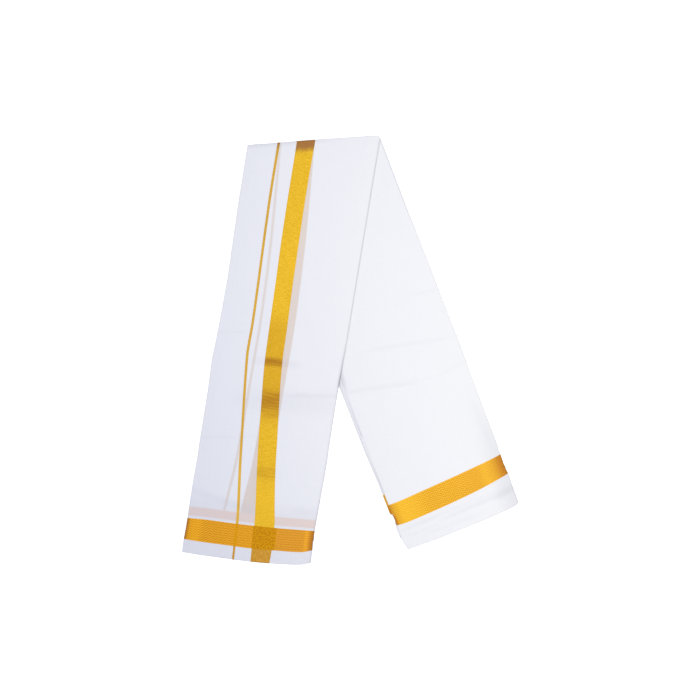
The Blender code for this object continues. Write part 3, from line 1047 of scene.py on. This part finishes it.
def crossing_gold(nodes, place):
    """Dark wavy gold, with small dots, where the border crosses the end band."""
    wave = nodes.math("SINE", nodes.times(place.along, 2 * math.pi / CROSSING_WAVE))
    wavy = place._replace(across=nodes.plus(place.across, nodes.times(wave, CROSSING_SWAY)))
    streak = nodes.threads(wavy, *CROSSING_STREAKS)
    uneven = nodes.plus(streak, nodes.times(even_dots(nodes, place, DOT_ACROSS, DOT_ALONG), 0.07))
    return nodes.mix(nodes.rise(uneven, 0.32, 0.64), CROSS_DEEP, CROSS_LIGHT)


def with_border(nodes, place, leg, colour, band, band_colour):
    """The line and the stripe on the cotton, and where they cross the end band."""
    bottom = station_of(leg, "band_bottom")
    lower = nodes.rise(place.along, 0.68, 0.80)
    beyond = nodes.rise(place.along, bottom, bottom + SOFT)
    width = nodes.plus(LINE_WIDTH, nodes.times(lower, LINE_WIDER), nodes.times(beyond, -LINE_THINNER))
    from_line = nodes.math("SUBTRACT", nodes.math("ABSOLUTE", place.across), nodes.times(width, 0.5))
    line = nodes.rise(from_line, SOFT, -SOFT)
    stripe = nodes.between(place.across, STRIPE_LEFT, STRIPE_RIGHT, SOFT)
    wide_stripe = nodes.between(place.across, CROSSING_LEFT, CROSSING_RIGHT, SOFT)
    border = nodes.any_of(line, stripe)

    # On the cotton
    share = zari_share(nodes, place)
    # Painted sheen on the line, low on the leg
    line_gold = nodes.mix(nodes.times(lower, 0.5), zari(nodes, share, LINE_LIGHT, LINE_DEEP), LINE_SHEEN)
    colour = nodes.mix(stripe, colour, stripe_gold(nodes, place, share))
    colour = nodes.mix(line, colour, line_gold)
    # Painted brown shade where the gold turns over the crease
    colour = crease_brown_shade(nodes, place, colour, line, stripe)

    # Beyond the end band, and on it
    grain = nodes.rise(nodes.threads(place, *BEYOND_GRAIN, FINE_DETAIL), 0.35, 0.65)
    colour = nodes.mix(nodes.times(beyond, border), colour, nodes.mix(grain, BEYOND_DEEP, BEYOND_LIGHT))
    crossing = crossing_gold(nodes, place)
    band_colour = nodes.mix(wide_stripe, band_colour, crossing)
    band_colour = nodes.mix(line, band_colour, nodes.mix(0.5, crossing, CROSS_LINE))
    return nodes.mix(band, colour, band_colour), nodes.any_of(border, band)


def shaded(nodes, place, shade, colour, gold):
    """Dark along the folds and in the soft creases, and where one layer lies beside another."""
    folds = nodes.any_of(*[strength(nodes, place, rows) for rows in shade.folds])
    bare = nodes.math("SUBTRACT", 1.0, nodes.times(gold, GOLD_KEEPS))
    broad = nodes.times(strength(nodes, place, shade.broad), bare)
    creased = nodes.times(nodes.rise(place.dip, 0.1, 1.8), DIP_SHADE)
    return nodes.mix(nodes.plus(folds, broad, creased), colour, nodes.mix(gold, SHADE, GOLD_SHADE))


def woven_cloth(name, leg, band_looks, shade):
    """Cotton with the gold woven in: a line and a stripe along it, and a band across its end."""
    nodes = Nodes(name)
    place = Place(*nodes.uv("cloth"), *[nodes.attribute(mark) for mark in MARKS])
    top, bottom = station_of(leg, "band_top"), station_of(leg, "band_bottom")
    band = nodes.between(place.along, top, bottom, SOFT)
    colour, slub = woven_cotton(nodes, place)
    band_colour, ribs = band_gold(nodes, place, leg, band_looks)
    if leg is FRONT:
        colour = seen_through(nodes, place, leg, colour)
        colour, gold = with_border(nodes, place, leg, colour, band, band_colour)
    else:
        colour, gold = nodes.mix(band, colour, band_colour), band
    colour = shaded(nodes, place, shade, colour, gold)

    # Relief of the threads
    weave = even_dots(nodes, place, WEAVE, WEAVE)
    height = nodes.plus(
        nodes.times(weave, WEAVE_RELIEF), nodes.times(slub, SLUB_RELIEF), nodes.both(ribs, band, RIB_RELIEF)
    )
    bump = nodes.add(
        "ShaderNodeBump", {"Strength": RELIEF_STRENGTH, "Distance": RELIEF_DEPTH, "Height": height}
    )
    shader = nodes.shader
    nodes.put(shader.inputs["Base Color"], colour)
    nodes.put(shader.inputs["Normal"], bump.outputs[0])
    nodes.put(shader.inputs["Metallic"], nodes.times(gold, ZARI_METAL))
    roughness = nodes.math("SUBTRACT", COTTON_ROUGHNESS, nodes.times(gold, ZARI_SMOOTHER))
    nodes.put(shader.inputs["Roughness"], roughness)
    shader.inputs["Specular IOR Level"].default_value = SPECULAR
    shader.inputs["Sheen Weight"].default_value = SHEEN
    shader.inputs["Sheen Roughness"].default_value = SHEEN_ROUGHNESS
    return nodes.material


def thicken(piece):
    wall = piece.modifiers.new("wall", "SOLIDIFY")
    wall.thickness = SHEET
    wall.offset = 0.0


def make_front_leg():
    """The front leg's cloth, with its turn over the crease."""
    material = woven_cloth("cotton_with_zari_border", FRONT, FRONT_BAND, FRONT_SHADE)
    piece = add_piece("front_leg_cloth", make_sheet(FRONT, True), material)
    thicken(piece)
    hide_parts("front_leg_face", "front_leg_layers", "crease_turn", "crease_core")


def make_back_leg():
    """The back leg's cloth, from the crease to its cut end."""
    material = woven_cloth("plain_cotton_with_zari_band", BACK, BACK_BAND, BACK_SHADE)
    piece = add_piece("back_leg_cloth", make_sheet(BACK, False), material)
    thicken(piece)
    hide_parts("back_leg_face", "back_leg_layers")


# Studio: a plain white floor and soft light
FRAME_WIDTH = 1.68
FRAME_CENTRE = (-0.0018, 0.0021)
LENS = 85.0
SENSOR = 36.0
FLOOR_SIZE = 40.0
FLOOR_TONES = ((0.90, 0.90, 0.90), (0.91, 0.91, 0.91))
FLOOR_ROUGHNESS = 0.9
FLOOR_GLOW = 0.36
COOL = (0.857, 0.881, 1.0)
WARM = (1.0, 0.927, 0.592)
AROUND_STRENGTH = 0.25
OVERHEAD_HEIGHT = 4.6
OVERHEAD_SIZE = 6.0
OVERHEAD_POWER = 247.0
POOL_PLACE = (0.6, -0.1)
POOL_HEIGHT = 3.0
POOL_POWER = 110.0
POOL_SOFTNESS = 0.25
POOL_ANGLE = math.radians(67.4)
POOL_NARROWING = 0.60
POOL_TURN = math.radians(20)


def make_floor():
    mesh = bmesh.new()
    bmesh.ops.create_grid(mesh, x_segments=1, y_segments=1, size=FLOOR_SIZE / 2)
    data = bpy.data.meshes.new("floor")
    mesh.to_mesh(data)
    mesh.free()
    nodes = Nodes("white_floor")
    uneven = nodes.noise(nodes.add("ShaderNodeTexCoord").outputs["Object"])
    colour = nodes.mix(uneven, *FLOOR_TONES)
    nodes.put(nodes.shader.inputs["Base Color"], colour)
    nodes.shader.inputs["Roughness"].default_value = FLOOR_ROUGHNESS
    nodes.shader.inputs["Emission Color"].default_value = (1.0, 1.0, 1.0, 1.0)
    nodes.shader.inputs["Emission Strength"].default_value = FLOOR_GLOW
    data.materials.append(nodes.material)
    floor = bpy.data.objects.new("floor", data)
    bpy.context.scene.collection.objects.link(floor)


def add_light(name, kind, place, power, colour, **settings):
    """A light that shines straight down."""
    data = bpy.data.lights.new(name, kind)
    data.energy = power
    data.color = colour
    for key, value in settings.items():
        setattr(data, key, value)
    light = bpy.data.objects.new(name, data)
    light.location = place
    bpy.context.scene.collection.objects.link(light)
    return light


def make_studio():
    """Cool light from a wide box overhead, and a warmer soft pool of light on the right."""
    scene = bpy.context.scene
    world = bpy.data.worlds.new("studio")
    world.use_nodes = True
    background = world.node_tree.nodes["Background"]
    background.inputs["Color"].default_value = (*COOL, 1.0)
    background.inputs["Strength"].default_value = AROUND_STRENGTH
    scene.world = world
    add_light(
        "overhead", "AREA", (0.0, 0.0, OVERHEAD_HEIGHT), OVERHEAD_POWER, COOL,
        shape="SQUARE", size=OVERHEAD_SIZE,
    )
    pool = add_light(
        "pool", "SPOT", (*POOL_PLACE, POOL_HEIGHT), POOL_POWER, WARM,
        spot_size=POOL_ANGLE, spot_blend=1.0, shadow_soft_size=POOL_SOFTNESS,
    )
    pool.scale = (POOL_NARROWING, 1.0, 1.0)
    pool.rotation_euler.z = POOL_TURN
    camera = bpy.data.objects.new("camera", bpy.data.cameras.new("camera"))
    camera.data.lens = LENS
    camera.data.sensor_width = SENSOR
    camera.location = (*FRAME_CENTRE, FRAME_WIDTH * LENS / SENSOR)
    scene.collection.objects.link(camera)
    scene.camera = camera
    scene.view_settings.view_transform = "Standard"


make_studio()
make_floor()
make_back_leg()
make_front_leg()
